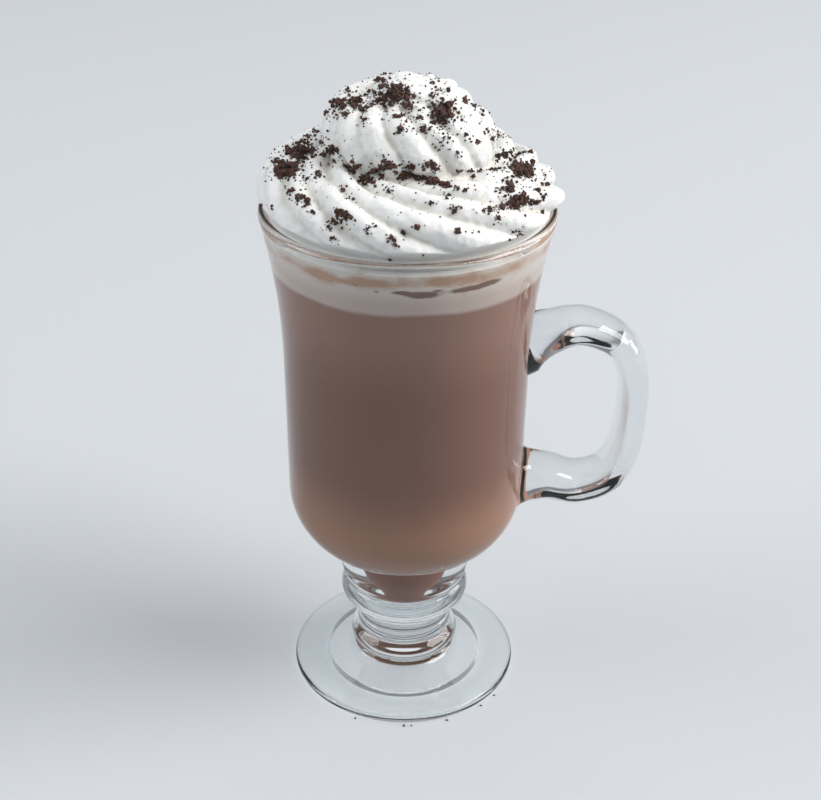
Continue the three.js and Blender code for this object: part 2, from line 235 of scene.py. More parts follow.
def handle_thickness(along):
    """How thick the bar is in the plane of the D, at a share of its length."""
    swell = (SWELL_ABOVE if along < THINNEST else SWELL_BELOW) * (along - THINNEST) ** 2
    roots = TOP_ROOT * faded(along, TOP_ROOT_LENGTH)
    roots += BOTTOM_ROOT * faded(1 - along, BOTTOM_ROOT_LENGTH)
    return HANDLE_THICKNESS + swell + roots + weld_flare(along)


# The bar is extruded straight, section by section, and its sections are then moved onto the D.
# The first and last sections lie upright inside the wall.
xs, zs, headings = even_points(HANDLE_PATH, HANDLE_SECTIONS)
headings[0] = 0
headings[-1] = -math.pi
bpy.ops.mesh.primitive_circle_add(
    vertices=HANDLE_CORNERS, radius=1, fill_type="NOTHING", rotation=(0, math.pi / 2, 0),
)
handle = bpy.context.object
handle.name = "handle_bar"
bpy.ops.object.transform_apply(location=True, rotation=True, scale=True)
bpy.ops.object.mode_set(mode="EDIT")
bpy.ops.mesh.select_mode(type="VERT")
bpy.ops.mesh.select_all(action="SELECT")
for _ in range(1, HANDLE_SECTIONS):
    bpy.ops.mesh.extrude_edges_move(TRANSFORM_OT_translate={"value": (1, 0, 0)})
bpy.ops.mesh.select_all(action="SELECT")
bpy.ops.mesh.fill_holes(sides=0)
bpy.ops.object.mode_set(mode="OBJECT")
for vert in handle.data.vertices:
    k = round(vert.co.x)
    along = k / (HANDLE_SECTIONS - 1)
    measure = abs(vert.co.y) ** HANDLE_SQUARENESS + abs(vert.co.z) ** HANDLE_SQUARENESS
    squared = measure ** (-1 / HANDLE_SQUARENESS)
    side = vert.co.y * squared * (HANDLE_WIDTH + weld_flare(along)) / 2
    lift = vert.co.z * squared * handle_thickness(along) / 2
    turn = headings[k]
    vert.co = Vector((AXIS_X + xs[k] - math.sin(turn) * lift, side, zs[k] + math.cos(turn) * lift)) * MM
bpy.ops.object.mode_set(mode="EDIT")
bpy.ops.mesh.select_all(action="SELECT")
bpy.ops.mesh.normals_make_consistent(inside=False)
bpy.ops.object.mode_set(mode="OBJECT")

bpy.ops.object.select_all(action="DESELECT")
mug.select_set(True)
bpy.context.view_layer.objects.active = mug
weld = mug.modifiers.new("weld", "BOOLEAN")
weld.operation = "UNION"
weld.solver = "EXACT"
weld.object = handle
bpy.ops.object.modifier_apply(modifier="weld")
bpy.data.objects.remove(handle)
bpy.ops.object.shade_smooth_by_angle(angle=math.radians(40))


def new_material(name):
    """A new material, with its tree and its Principled shader."""
    material = bpy.data.materials.new(name)
    material.use_nodes = True
    tree = material.node_tree
    shader = tree.nodes["Principled BSDF"]
    return material, tree, shader


def add_node(tree, kind, links=None, **settings):
    """Adds a node, sets its options, and feeds its inputs from values or other nodes' sockets."""
    node = tree.nodes.new(kind)
    for key, value in settings.items():
        setattr(node, key, value)
    for key, value in (links or {}).items():
        socket = node.inputs[key]
        if isinstance(value, bpy.types.NodeSocket):
            tree.links.new(value, socket)
        else:
            socket.default_value = value
    return node


# Clear glass bends light, and lets a shadow's light straight through, as thin clear glass does.
glass, tree, shader = new_material("clear_glass")
shader.inputs["Base Color"].default_value = (0.88, 0.905, 0.915, 1)
shader.inputs["Roughness"].default_value = 0.015
shader.inputs["IOR"].default_value = 1.5
shader.inputs["Transmission Weight"].default_value = 1.0
light_path = add_node(tree, "ShaderNodeLightPath")
through = add_node(tree, "ShaderNodeBsdfTransparent", {"Color": (0.89, 0.90, 0.905, 1)})
choose = add_node(tree, "ShaderNodeMixShader", {
    0: light_path.outputs["Is Shadow Ray"], 1: shader.outputs[0], 2: through.outputs[0],
})
tree.links.new(choose.outputs[0], tree.nodes["Material Output"].inputs["Surface"])
mug.data.materials.append(glass)
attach(mug, "root")
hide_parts("glass_mug")


# The drink is cold milk with coffee poured in, an even brown that pales towards the foam and is
# a little ruddier near the bottom. In the narrow dip it is painted darker, as painted shade. It
# fills the bowl and reaches just into the glass, so that no gap of air shows round it.
WALL_REACH = 0.3
DRINK_LEVEL = 128.8
# A flat top has one more ring of points part of the way in
TOP_RING = 20
drink_outline = inside_outline(WALL_REACH, DRINK_LEVEL)
drink_outline += [(TOP_RING, DRINK_LEVEL), (0, DRINK_LEVEL)]
drink = spun_piece("milky_coffee", drink_outline)
bpy.ops.object.shade_smooth_by_angle(angle=math.radians(40))

DRINK_BROWN = (0.168, 0.071, 0.043, 1)
DRINK_LOW = (0.32, 0.158, 0.088, 1)
# Painted shade: in the narrow dip the drink takes a darker, ruddier brown
DRINK_DIP_SHADED = (0.19, 0.07, 0.04, 1)
DRINK_HIGH = (0.25, 0.13, 0.092, 1)
coffee, tree, shader = new_material("milky_coffee")
where = add_node(tree, "ShaderNodeTexCoord")
axes = add_node(tree, "ShaderNodeSeparateXYZ", {0: where.outputs["Object"]})
wander = add_node(tree, "ShaderNodeTexNoise", {
    "Vector": where.outputs["Object"], "Scale": 60.0, "Detail": 3.0, "Roughness": 0.5,
})
height = add_node(tree, "ShaderNodeMath", {
    0: wander.outputs["Fac"], 1: 0.006, 2: axes.outputs["Z"],
}, operation="MULTIPLY_ADD")
up_the_bowl = add_node(tree, "ShaderNodeMapRange", {
    "Value": height.outputs[0], "From Min": 0.03, "From Max": 0.1335,
})
layers = add_node(tree, "ShaderNodeValToRGB", {0: up_the_bowl.outputs[0]})
ramp = layers.color_ramp
ramp.interpolation = "EASE"
ramp.elements[0].position = 0.0
ramp.elements[0].color = DRINK_DIP_SHADED
ramp.elements[1].position = 1.0
ramp.elements[1].color = DRINK_HIGH
# The dip's darker brown at the foot of this ramp is painted shade
for position, colour in (
    (0.12, DRINK_DIP_SHADED), (0.18, DRINK_LOW), (0.28, DRINK_LOW), (0.5, DRINK_BROWN),
    (0.71, DRINK_BROWN), (0.94, DRINK_HIGH),
):
    ramp.elements.new(position).color = colour
tree.links.new(layers.outputs["Color"], shader.inputs["Base Color"])
shader.inputs["Roughness"].default_value = 0.55
shader.inputs["Subsurface Weight"].default_value = 0.2
shader.inputs["Subsurface Radius"].default_value = (0.002, 0.0015, 0.001)
drink.data.materials.append(coffee)
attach(drink, "root")
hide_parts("drink")


# The foam is a pale band of frothed milk on the drink, stained with smears of coffee that have
# run down the inside of the glass. It too reaches just into the wall. It is spun and stepped
# finely, because its stains are painted on its points.
FOAM_EDGE = 140.9
FOAM_LEVEL = 142.2
FOAM_ROWS = 44
FOAM_SPIN_STEPS = 360
FOAM_PALE = (0.49, 0.405, 0.365, 1)
FOAM_LIGHT = (0.57, 0.51, 0.465, 1)
FOAM_TOP = (0.63, 0.59, 0.55, 1)
COFFEE_TAN = (0.44, 0.27, 0.18, 1)
COFFEE_DARK = (0.17, 0.095, 0.068, 1)
heights = np.linspace(DRINK_LEVEL, FOAM_EDGE, FOAM_ROWS)
foam_sides = [(bowl_radius(h) - WALL + WALL_REACH, h) for h in heights]
foam_sides += [(foam_sides[-1][0] - 0.9, FOAM_EDGE + 0.5), (foam_sides[-1][0] - 1.4, FOAM_LEVEL)]
foam_outline = [(0, DRINK_LEVEL)] + foam_sides + [(TOP_RING, FOAM_LEVEL), (0, FOAM_LEVEL)]
foam = spun_piece("milk_froth", foam_outline, FOAM_SPIN_STEPS)
bpy.ops.object.shade_smooth_by_angle(angle=math.radians(40))

# Each smear of coffee on the foam: degrees round from the front, height, half width in degrees,
# half height and strength. Stains are broad and tan, streaks are narrow and as dark as the drink.
STAINS = [
    (-37, 138.2, 8, 2.0, 1.0), (-53, 138.9, 6, 1.3, 0.45), (-13, 138.7, 11, 1.5, 0.95),
    (-24, 137.9, 5, 0.8, 0.5), (13, 139.4, 8, 1.5, 0.8), (28, 138.9, 11, 1.9, 0.8),
    (47, 139.0, 8, 1.8, 0.6), (76, 138.4, 15, 1.8, 0.9), (100, 139.8, 17, 1.3, 0.7),
    (134, 138.0, 21, 1.5, 0.7), (166, 139.6, 15, 1.7, 0.9), (-76, 138.0, 13, 1.9, 0.9),
    (-99, 139.5, 9, 1.2, 0.6), (-128, 137.8, 19, 1.6, 0.8), (-161, 139.2, 13, 1.3, 0.6),
]
STREAKS = [
    (6, 135.7, 7, 1.0, 1.4), (-3, 136.4, 4, 0.6, 1.0), (24, 136.1, 7, 0.8, 1.2),
    (34, 136.6, 6, 0.9, 1.1), (-20, 137.4, 2, 0.4, 0.7), (-12, 136.2, 1.6, 0.4, 0.8),
    (12, 136.8, 2, 0.4, 0.7), (93, 136.1, 9, 0.8, 1.2), (138, 136.7, 12, 0.5, 1.0),
    (-88, 136.7, 12, 0.6, 1.1), (-149, 135.8, 7, 0.9, 1.2), (178, 136.9, 4, 0.4, 0.9),
]
foam_spots = np.empty(len(foam.data.vertices) * 3)
foam.data.vertices.foreach_get("co", foam_spots)
foam_spots = foam_spots.reshape(-1, 3) / MM
round_from_front = np.degrees(np.arctan2(foam_spots[:, 0] - AXIS_X, -foam_spots[:, 1]))
for mark, patches in (("stain", STAINS), ("streak", STREAKS)):
    shown = np.zeros(len(foam_spots))
    for angle, height, half_angle, half_height, strength in patches:
        turned_by = (round_from_front - angle + 180) % 360 - 180
        off = (turned_by / half_angle) ** 2 + ((foam_spots[:, 2] - height) / half_height) ** 2
        shown += strength * np.exp(-off)
    foam.data.attributes.new(mark, "FLOAT", "POINT").data.foreach_set("value", shown)

froth, tree, shader = new_material("milk_froth")
where = add_node(tree, "ShaderNodeTexCoord")
axes = add_node(tree, "ShaderNodeSeparateXYZ", {0: where.outputs["Object"]})
cloudy = add_node(tree, "ShaderNodeMapping", {"Vector": where.outputs["Object"], "Scale": (1, 1, 1.7)})
clouds = add_node(tree, "ShaderNodeTexNoise", {
    "Vector": cloudy.outputs[0], "Scale": 150.0, "Detail": 5.0, "Roughness": 0.65, "Distortion": 0.4,
})
stain = add_node(tree, "ShaderNodeAttribute", attribute_name="stain")
stain_edge = add_node(tree, "ShaderNodeMath", {
    0: clouds.outputs["Fac"], 1: 1.5, 2: stain.outputs["Fac"],
}, operation="MULTIPLY_ADD")
stain_mask = add_node(tree, "ShaderNodeMapRange", {
    "Value": stain_edge.outputs[0], "From Min": 0.88, "From Max": 1.45,
})
ragged = add_node(tree, "ShaderNodeTexNoise", {
    "Vector": where.outputs["Object"], "Scale": 420.0, "Detail": 4.0, "Roughness": 0.6,
})
streak = add_node(tree, "ShaderNodeAttribute", attribute_name="streak")
streak_edge = add_node(tree, "ShaderNodeMath", {
    0: ragged.outputs["Fac"], 1: 0.8, 2: streak.outputs["Fac"],
}, operation="MULTIPLY_ADD")
streak_mask = add_node(tree, "ShaderNodeMapRange", {
    "Value": streak_edge.outputs[0], "From Min": 0.72, "From Max": 1.2,
})
drift = add_node(tree, "ShaderNodeTexNoise", {
    "Vector": where.outputs["Object"], "Scale": 55.0, "Detail": 3.0, "Roughness": 0.5,
})
from_drink = add_node(tree, "ShaderNodeMath", {
    0: drift.outputs["Fac"], 1: 0.0022, 2: axes.outputs["Z"],
}, operation="MULTIPLY_ADD")
up_the_foam = add_node(tree, "ShaderNodeMapRange", {
    "Value": from_drink.outputs[0], "From Min": DRINK_LEVEL * MM, "From Max": FOAM_EDGE * MM,
})
layers = add_node(tree, "ShaderNodeValToRGB", {0: up_the_foam.outputs[0]})
ramp = layers.color_ramp
ramp.elements[0].position = 0.1
ramp.elements[0].color = DRINK_HIGH
ramp.elements[1].position = 1.0
ramp.elements[1].color = FOAM_TOP
for position, colour in ((0.2, FOAM_PALE), (0.42, FOAM_PALE), (0.62, FOAM_LIGHT)):
    ramp.elements.new(position).color = colour
stained = add_node(tree, "ShaderNodeMix", {
    0: stain_mask.outputs[0], 6: layers.outputs["Color"], 7: COFFEE_TAN,
}, data_type="RGBA")
smeared = add_node(tree, "ShaderNodeMix", {
    0: streak_mask.outputs[0], 6: stained.outputs[2], 7: COFFEE_DARK,
}, data_type="RGBA")
tree.links.new(smeared.outputs[2], shader.inputs["Base Color"])
shader.inputs["Roughness"].default_value = 0.6
shader.inputs["Subsurface Weight"].default_value = 0.15
shader.inputs["Subsurface Radius"].default_value = (0.001, 0.0007, 0.0005)
foam.data.materials.append(froth)
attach(foam, "root")
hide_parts("milk_foam")


# The cream is whipped and piped through a star nozzle: one fluted rope wound up in shrinking
# turns over a filling heap, and drawn off into a small crown. It is soft, so its ridges are round
# and its turns have sunk into each other.
ROPE_TURNS = [-0.12, 0, 0.25, 0.5, 0.75, 1, 1.25, 1.5, 1.75, 2, 2.25, 2.5, 2.75, 3, 3.4]
ROPE_RADII = [27.0, 29.6, 28.6, 28.4, 27.5, 26.2, 23.5, 22.5, 18.5, 12.5, 11.5, 12.6, 10.5, 8, 5.5]
ROPE_HEIGHTS = [
    144.5, 146, 147.3, 148.6, 149.3, 149, 149.6, 150.9, 155.5, 161.5, 162.5, 164.5, 166, 167.5, 170,
]
ROPE_SIZES = [6.5, 10.2, 9.6, 9.6, 9.5, 9.3, 9.3, 9.3, 9.3, 9.4, 9.6, 9.3, 8.8, 8.2, 3.3]
ROPE_TWISTS = [-0.24, 0, 0.5, 1.05, 1.5, 1.85, 2.2, 2.65, 3.2, 4.0, 4.85, 5.7, 6.5, 7.2, 8.0]
# Each pass of the piping: its first and last turn, its number of flutes and how deep they are
ROPE_PASSES = [(-0.12, 2.15, 6, 3.0), (1.8, 3.4, 4, 2.1)]
# The teeth of the nozzle are uneven, so that some grooves are deeper
GROOVE_CUTS = [1.1, 0.8, 1.15, 0.9, 0.7, 1.2]
# Below this size the rope's grooves get shallower with it
SLIM_ROPE = 6
STEPS_PER_TURN = 96
POINTS_PER_FLUTE = 10
CROWN_HEIGHTS = [165, 169, 172.5, 174.8, 176.4, 177.5, 178]
CROWN_SIZES = [8, 9.6, 9.4, 8.2, 5.8, 3, 1]
CROWN_FLUTES = 7
CROWN_FLUTE_DEPTH = 0.17
CROWN_TWIST = 0.11
CROWN_MIDDLE = AXIS_X - 1
HEAP_SPIN_STEPS = 64
CREAM_GRAIN = 0.00044
CREAM_WHITE = (0.70, 0.70, 0.688, 1)
# Grooves: painted shade in the creases, with a little real butter tint
CREAM_GROOVE_SHADE_AND_TINT = (0.61, 0.595, 0.545, 1)


def along_rope(turns, values):
    """A value between those given for the rope's turns."""
    k = 0
    while k < len(ROPE_TURNS) - 2 and turns > ROPE_TURNS[k + 1]:
        k += 1
    along = (turns - ROPE_TURNS[k]) / (ROPE_TURNS[k + 1] - ROPE_TURNS[k])
    return values[k] + (values[k + 1] - values[k]) * along


def flute_depth(flutes, angle):
    """Round ridges with narrow grooves between them, 0 on a ridge and 1 in a groove."""
    return 1 - abs(math.cos(flutes * angle / 2)) ** 0.8


def skinned_piece(name, rings):
    """A closed mesh skinned over rings of equal count, its ends filled."""
    count = len(rings[0])
    points = [p * MM for ring in rings for p in ring]
    faces = []
    for k in range(len(rings) - 1):
        for j in range(count):
            here, beside = k * count + j, k * count + (j + 1) % count
            faces.append((here, beside, beside + count, here + count))
    faces.append(tuple(range(count - 1, -1, -1)))
    faces.append(tuple(range((len(rings) - 1) * count, len(rings) * count)))
    mesh = bpy.data.meshes.new(name)
    mesh.from_pydata([tuple(p) for p in points], [], faces)
    piece = bpy.data.objects.new(name, mesh)
    bpy.context.scene.collection.objects.link(piece)
    return piece


cream_parts = []
for first, last, flutes, depth in ROPE_PASSES:
    rope_rings = []
    steps = round((last - first) * STEPS_PER_TURN)
    for k in range(steps + 1):
        turns = first + (last - first) * k / steps
        angle = -2 * math.pi * turns
        out = Vector((math.cos(angle), math.sin(angle), 0))
        centre = out * along_rope(turns, ROPE_RADII) + Vector((AXIS_X, 0, along_rope(turns, ROPE_HEIGHTS)))
        size = along_rope(turns, ROPE_SIZES)
        twist = 2 * math.pi * along_rope(turns, ROPE_TWISTS)
        ring = []
        for j in range(flutes * POINTS_PER_FLUTE):
            lift = 2 * math.pi * j / (flutes * POINTS_PER_FLUTE)
            nearest_groove = round(j / POINTS_PER_FLUTE - 0.001)
            cut = depth * GROOVE_CUTS[nearest_groove % flutes]
            reach = size - cut * min(1, size / SLIM_ROPE) * flute_depth(flutes, lift)
            lift += twist
            ring.append(centre + out * reach * math.cos(lift) + Vector((0, 0, reach * math.sin(lift))))
        rope_rings.append(ring)
    cream_parts.append(skinned_piece("cream_rope", rope_rings))

crown_rings = []
for k in range(len(CROWN_HEIGHTS)):
    ring = []
    for j in range(CROWN_FLUTES * POINTS_PER_FLUTE):
        turn = 2 * math.pi * j / (CROWN_FLUTES * POINTS_PER_FLUTE)
        reach = CROWN_SIZES[k] * (1 - CROWN_FLUTE_DEPTH * flute_depth(CROWN_FLUTES, turn))
        turn -= CROWN_TWIST * (CROWN_HEIGHTS[k] - CROWN_HEIGHTS[0])
        across = CROWN_MIDDLE + reach * math.cos(turn)
        ring.append(Vector((across, reach * math.sin(turn), CROWN_HEIGHTS[k])))
    crown_rings.append(ring)
cream_parts.append(skinned_piece("cream_crown", crown_rings))

# The filling heap stands just into the foam. It, the rope and the crown become one skin.
CREAM_BOTTOM = FOAM_LEVEL - 0.2
cream = spun_piece("piped_cream", [
    (0, CREAM_BOTTOM), (bowl_radius(CREAM_BOTTOM) - WALL + WALL_REACH, CREAM_BOTTOM),
    (35.4, 144), (35.6, 146.5), (34.6, 149), (31, 151.5), (26, 154), (21.5, 157), (16.5, 161), (11, 167),
    (6, 172), (0, 175),
], HEAP_SPIN_STEPS)
bpy.ops.object.select_all(action="DESELECT")
for part in cream_parts + [cream]:
    part.select_set(True)
bpy.context.view_layer.objects.active = cream
bpy.ops.object.join()
soft = cream.modifiers.new("one_skin", "REMESH")
soft.mode = "VOXEL"
soft.voxel_size = CREAM_GRAIN
bpy.ops.object.modifier_apply(modifier="one_skin")
ease = cream.modifiers.new("soften", "SMOOTH")
ease.factor = 0.5
ease.iterations = 12
bpy.ops.object.modifier_apply(modifier="soften")
uneven = bpy.data.textures.new("uneven_cream", "CLOUDS")
uneven.noise_scale = 0.006
uneven.noise_depth = 2
swell = cream.modifiers.new("uneven", "DISPLACE")
swell.texture = uneven
swell.texture_coords = "LOCAL"
swell.strength = 0.0012
swell.mid_level = 0.5
bpy.ops.object.modifier_apply(modifier="uneven")
torn = bpy.data.textures.new("torn_cream", "CLOUDS")
torn.noise_scale = 0.0016
torn.noise_depth = 3
roughen = cream.modifiers.new("roughen", "DISPLACE")
roughen.texture = torn
roughen.texture_coords = "LOCAL"
roughen.strength = 0.0005
roughen.mid_level = 0.5
bpy.ops.object.modifier_apply(modifier="roughen")

# The cream keeps a hair inside the glass up to the lip, and swells out over the lip above it
LIP_GAP = 0.45
SWELL_START = 143.6
SWELL_RATE = 0.2
spots = np.empty(len(cream.data.vertices) * 3)
cream.data.vertices.foreach_get("co", spots)
spots = spots.reshape(-1, 3) / MM
away_x = spots[:, 0] - AXIS_X
radius = np.hypot(away_x, spots[:, 1])
height = np.maximum(spots[:, 2], CREAM_BOTTOM)
limit = np.array([bowl_radius(min(max(h, FLARE_START), LIP_HEIGHT)) for h in height]) - WALL - LIP_GAP
limit += SWELL_RATE * np.maximum(0, height - SWELL_START) ** 2
fixed = np.minimum(radius, limit)
ratio = fixed / np.maximum(radius, 0.001)
spots = np.stack([AXIS_X + away_x * ratio, spots[:, 1] * ratio, height], 1) * MM
cream.data.vertices.foreach_set("co", spots.ravel())
cream.data.update()
bpy.ops.object.shade_smooth()

# How deep each place lies in a groove: how far an evened-out copy of the cream stands above it
GROOVE_PASSES = 60
GROOVE_FULL = 0.0005
ends = np.empty(len(cream.data.edges) * 2, int)
cream.data.edges.foreach_get("vertices", ends)
ends = ends.reshape(-1, 2)
here = np.concatenate([ends[:, 0], ends[:, 1]])
beside = np.concatenate([ends[:, 1], ends[:, 0]])
neighbours = np.bincount(here, minlength=len(spots))
even = spots.copy()
for _ in range(GROOVE_PASSES):
    sums = [np.bincount(here, even[beside, axis], len(spots)) for axis in range(3)]
    even = np.stack(sums, 1) / neighbours[:, None]
outwards = np.empty(len(cream.data.vertices) * 3)
cream.data.vertices.foreach_get("normal", outwards)
groove = np.einsum("ij,ij->i", even - spots, outwards.reshape(-1, 3)) / GROOVE_FULL
cream.data.attributes.new("groove", "FLOAT", "POINT").data.foreach_set("value", np.clip(groove, 0, 1))

whipped, tree, shader = new_material("whipped_cream")
where = add_node(tree, "ShaderNodeTexCoord")
deep = add_node(tree, "ShaderNodeAttribute", attribute_name="groove")
# The grooves are painted darker: painted shade in the creases, with a little real butter tint.
groove_shade_and_tint = add_node(tree, "ShaderNodeMix", {
    0: deep.outputs["Fac"], 6: CREAM_WHITE, 7: CREAM_GROOVE_SHADE_AND_TINT,
}, data_type="RGBA")
tree.links.new(groove_shade_and_tint.outputs[2], shader.inputs["Base Color"])
shader.inputs["Roughness"].default_value = 0.5
shader.inputs["Subsurface Weight"].default_value = 0.27
shader.inputs["Subsurface Radius"].default_value = (0.0016, 0.0014, 0.0012)
fine = add_node(tree, "ShaderNodeTexNoise", {
    "Vector": where.outputs["Object"], "Scale": 900.0, "Detail": 3.0, "Roughness": 0.6,
})
bump = add_node(tree, "ShaderNodeBump", {
    "Height": fine.outputs["Fac"], "Strength": 0.3, "Distance": 0.0004,
})
tree.links.new(bump.outputs[0], shader.inputs["Normal"])
cream.data.materials.append(whipped)
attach(cream, "root")
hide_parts("whipped_cream")


# The crumbs are a dark chocolate cookie rubbed to pieces over the cream: coarse bits that pile up
# where a pinch fell, and fine dust that spreads round each pinch. They lie loose on the cream.

# Seen from the front, each pinch: where it shows in the photograph, its half width and height
# there, and its number of coarse bits and of fine bits.
PINCHES = [
    (395, 94, 16, 11, 230, 90), (383, 81, 6, 3, 14, 16), (377, 102, 5, 4, 18, 14), (410, 105, 4, 4, 8, 10),
    (442, 114, 13, 11, 200, 80), (424, 129, 6, 5, 12, 24), (400, 117, 5, 3, 5, 12), (400, 130, 5, 4, 8, 14),
    (417, 118, 4, 2, 6, 12), (322, 108, 5, 5, 34, 20), (338, 104, 9, 5, 60, 26), (354, 103, 9, 5, 56, 26),
    (365, 108, 4, 4, 14, 10), (367, 94, 5, 4, 6, 8), (349, 91, 5, 2, 9, 8), (330, 113, 8, 3, 8, 22),
    (363, 120, 4, 4, 6, 8), (342, 115, 7, 4, 5, 14), (431, 84, 4, 3, 8, 8), (442, 89, 6, 2, 8, 10),
    (433, 95, 4, 3, 6, 8), (465, 102, 3, 3, 7, 8), (474, 104, 3, 3, 6, 8), (482, 113, 2, 5, 6, 10),
    (460, 118, 5, 4, 4, 12), (446, 138, 6, 6, 8, 28), (465, 135, 3, 3, 5, 6), (475, 143, 4, 3, 3, 8),
    (457, 153, 2, 3, 3, 4), (492, 139, 3, 5, 9, 12), (487, 131, 4, 3, 5, 8), (315, 133, 3, 3, 10, 4),
    (308, 143, 6, 4, 10, 10), (298, 146, 5, 4, 10, 12), (288, 152, 6, 4, 14, 14), (302, 153, 15, 7, 110, 50),
    (312, 150, 5, 4, 18, 10), (276, 162, 4, 3, 14, 10), (285, 170, 12, 9, 200, 70), (296, 166, 6, 5, 30, 14),
    (332, 151, 6, 5, 50, 20), (335, 161, 2, 3, 5, 6), (322, 143, 3, 3, 4, 6), (317, 175, 3, 4, 10, 10),
    (308, 179, 4, 3, 6, 12), (290, 192, 4, 2, 8, 8), (300, 198, 5, 3, 16, 10), (307, 202, 4, 3, 12, 8),
    (313, 213, 3, 2, 6, 8), (343, 216, 8, 5, 44, 22), (350, 218, 3, 2, 8, 6), (337, 222, 6, 3, 6, 14),
    (328, 227, 3, 3, 4, 10), (332, 238, 3, 2, 5, 4), (354, 168, 6, 5, 42, 18), (366, 180, 7, 5, 56, 22),
    (374, 184, 3, 3, 10, 6), (343, 190, 2, 4, 6, 6), (350, 197, 4, 2, 3, 6), (388, 165, 7, 5, 52, 22),
    (376, 170, 5, 2, 8, 12), (403, 175, 7, 4, 48, 20), (410, 167, 6, 3, 26, 12), (430, 165, 7, 4, 40, 20),
    (436, 169, 5, 2, 12, 10), (420, 178, 8, 2, 34, 14), (433, 183, 6, 3, 32, 12), (444, 185, 5, 3, 24, 10),
    (450, 187, 3, 1, 6, 4), (458, 187, 2, 2, 4, 2), (467, 190, 2, 1, 2, 3), (458, 171, 3, 1, 3, 6),
    (468, 171, 5, 1, 5, 10), (480, 171, 4, 1, 5, 8), (494, 170, 6, 2, 12, 14), (474, 176, 2, 2, 4, 4),
    (390, 190, 3, 4, 6, 10), (382, 177, 3, 3, 7, 8), (448, 196, 3, 2, 6, 6), (432, 203, 4, 2, 4, 10),
    (455, 210, 4, 3, 9, 10), (506, 155, 6, 5, 24, 18), (513, 151, 3, 3, 7, 6), (498, 158, 4, 3, 6, 8),
    (522, 170, 11, 9, 160, 60), (515, 165, 4, 4, 14, 10), (530, 174, 5, 4, 16, 14), (547, 175, 4, 5, 2, 10),
    (511, 188, 6, 4, 36, 20), (500, 190, 4, 2, 6, 8), (507, 182, 4, 4, 7, 10), (521, 200, 11, 6, 100, 40),
    (510, 203, 5, 3, 18, 12), (515, 207, 6, 2, 14, 10), (533, 202, 3, 2, 6, 6), (502, 208, 5, 2, 9, 12),
    (492, 210, 5, 2, 7, 10), (484, 211, 4, 2, 4, 6), (545, 185, 3, 3, 10, 8), (538, 190, 3, 2, 6, 6),
    (543, 197, 3, 3, 12, 4), (542, 212, 2, 2, 3, 3), (517, 233, 4, 4, 7, 12), (498, 218, 4, 3, 6, 10),
    (475, 232, 5, 1, 1, 6), (392, 239, 4, 3, 12, 6), (395, 245, 3, 2, 5, 4), (403, 233, 1, 3, 3, 4),
    (373, 226, 4, 1, 4, 6), (417, 227, 4, 1, 6, 8), (367, 232, 2, 3, 3, 5), (423, 255, 1, 1, 2, 1),
    (390, 260, 1, 1, 1, 1), (272, 208, 2, 3, 2, 4), (261, 206, 1, 1, 4, 1), (458, 231, 2, 2, 22, 3),
]
# On the far side, each pinch: place from the mug's axis, spread, coarse bits and fine bits.
FAR_PINCHES = [
    (10, 14, 4.0, 60, 90), (-16, 20, 4.0, 60, 90), (22, 12, 3.0, 30, 50), (-4, 9, 3.0, 30, 50),
    (-26, 8, 2.6, 30, 40), (4, 26, 3.0, 30, 50), (-8, 30, 2.5, 14, 30), (29, 3, 2.0, 12, 20),
]
# A few crumbs have fallen past the glass and lie in front of the foot: place across and size
FALLEN = [(-13.5, 0.32), (0.3, 0.4), (2.4, 0.28), (12.5, 0.36), (22.3, 0.3), (26.3, 0.38)]
FALLEN_AWAY = 32.9
# Dust lies thinly all over the cream, up to this far from the axis
DUST_BITS = 480
DUST_REACH = 36
COARSE_ROUGHNESS = 0.34
FINE_ROUGHNESS = 0.3
# How far the coarse and the fine bits of a pinch scatter, as shares of its half width and height
COARSE_SPREAD = 0.5
FINE_SPREAD = 1.1
# A crumb's middle stands this share of its size above the cream
CRUMB_LIFT = 0.35
# Crumbs pile up in the middle of a pinch that has this many coarse bits or more
PILE_HEIGHT = 1.1
BIG_PINCH = 60
DROP_HEIGHT = 0.3
dice = np.random.default_rng(11)
surface = BVHTree.FromObject(cream, bpy.context.evaluated_depsgraph_get())


def lump_shape(subdivisions):
    """The corners and faces of one round lump, to be pulled about for each crumb."""
    bpy.ops.mesh.primitive_ico_sphere_add(subdivisions=subdivisions, radius=1)
    lump = bpy.context.object
    corners = np.array([v.co for v in lump.data.vertices])
    faces = np.array([p.vertices for p in lump.data.polygons])
    bpy.data.objects.remove(lump)
    return corners, faces


def random_turn():
    """A rotation matrix, any way round being as likely."""
    q = dice.normal(size=4)
    w, x, y, z = q / np.linalg.norm(q)
    return np.array([
        [1 - 2 * (y * y + z * z), 2 * (x * y - w * z), 2 * (x * z + w * y)],
        [2 * (x * y + w * z), 1 - 2 * (x * x + z * z), 2 * (y * z - w * x)],
        [2 * (x * z - w * y), 2 * (y * z + w * x), 1 - 2 * (x * x + y * y)],
    ])


def crumb_corners(corners, size, rough):
    """One crumb: corners pulled in and out, flattened a little, turned any way."""
    pulled = corners * (1 + rough * dice.uniform(-1, 0.6, (len(corners), 1)))
    pulled = pulled * dice.uniform(0.65, 1.15, 3)
    return pulled @ random_turn().T * size


def on_top(hit):
    """The spot and slope of a hit on the cream, or nothing where it lies inside the glass."""
    spot, slope = hit[0], hit[1]
    if spot is None or spot.z < (RIM_HEIGHT - 1) * MM:
        return None, None
    return spot, slope


def dropped(x, y):
    """Where a crumb let go above a place comes to lie on the cream."""
    above = Vector(((AXIS_X + x) * MM, y * MM, DROP_HEIGHT))
    return on_top(surface.ray_cast(above, Vector((0, 0, -1))))


def seen_at(across, down):
    """Where on the cream a crumb lies that the photograph shows at a place."""
    right_by = (across - PHOTO_WIDTH / 2) / CAMERA_LENS_PIXELS
    down_by = (down - PHOTO_HEIGHT / 2) / CAMERA_LENS_PIXELS
    heading = (ahead + camera_right * right_by - camera_up * down_by).normalized()
    return on_top(surface.ray_cast(place, heading))


